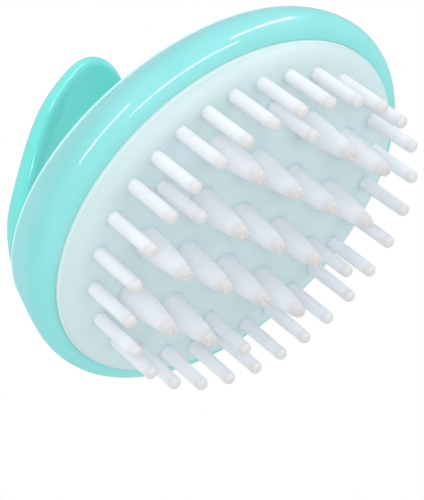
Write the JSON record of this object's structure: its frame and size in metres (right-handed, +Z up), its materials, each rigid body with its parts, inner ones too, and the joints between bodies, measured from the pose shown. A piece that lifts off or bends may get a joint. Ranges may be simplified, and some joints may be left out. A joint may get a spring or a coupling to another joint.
{
  "type": "scalp massager brush",
  "caption": "Oval palm brush with a soft pad of thin pins and fat cones below and a curved spoon-shaped handle above, holding a battery vibration motor.",
  "frame": {"origin": "on the surface the brush stands on, below the middle of the body's oval outline; the cone tips touch Z = 0", "axes": "+X from the heel, where the handle is rooted, to the nose; +Y across the brush; +Z up, from the bristle tips to the handle"},
  "size_m": [0.1102, 0.0926, 0.0821],
  "materials": {
    "aqua_shell": "high-gloss moulded ABS, pale aqua",
    "aqua_handle": "high-gloss moulded ABS, aqua",
    "pad": "soft translucent silicone with a satin skin, very pale blue",
    "bristle": "soft translucent silicone, milky white",
    "white_plastic": "moulded plastic, natural white",
    "seal": "soft grey silicone",
    "button_white": "glossy moulded plastic, white",
    "screw_steel": "stainless steel",
    "contact_steel": "nickel-plated spring steel",
    "motor_steel": "drawn steel",
    "weight_brass": "sintered brass",
    "battery_jacket": "plain printed steel jacket",
    "board": "glass-fibre board, green solder mask",
    "switch_black": "black moulded plastic",
    "lead_red": "stranded wire in a soft jacket"
  },
  "bodies": {
    "body": {"massage_cones": "bristle", "thin_pins": "bristle", "bristle_pad": "pad", "carrier_plate": "white_plastic", "pad_seal": "seal", "housing": "aqua_shell", "cover_seal": "seal", "back_cover": "aqua_shell", "handle": "aqua_handle", "battery_tray": "white_plastic", "batteries": "battery_jacket", "contact_plates": "contact_steel", "contact_springs": "contact_steel", "motor_cradle": "seal", "motor_clamp": "white_plastic", "motor_can": "motor_steel", "motor_end_cap": "white_plastic", "switch_board": "board", "tact_switch": "switch_black", "button_bezel": "button_white", "housing_screws": "screw_steel", "handle_screws": "screw_steel", "board_screws": "screw_steel", "tray_screws": "screw_steel", "clamp_screws": "screw_steel", "motor_lead": "lead_red", "battery_lead": "lead_red"},
    "door": {"battery_door": "aqua_shell", "door_seal": "seal", "door_screw": "screw_steel"},
    "rotor": {"motor_shaft": "motor_steel", "eccentric_weight": "weight_brass"},
    "button": {"push_button": "button_white", "switch_plunger": "switch_black"}
  },
  "joints": [
    {"name": "motor_spin", "type": "hinge", "parent": "body", "child": "rotor", "pos_m": [-0.01, 0, 0.0318], "axis": [1, 0, 0], "continuous": true},
    {"name": "button_press", "type": "slide", "parent": "body", "child": "button", "axis": [0, 0, -1], "range_m": [0, 0.001], "stiffness_N_per_m": 900},
    {"name": "door_lift", "type": "slide", "parent": "body", "child": "door", "axis": [0, 0, 1], "range_m": [0, 0.03]}
  ]
}
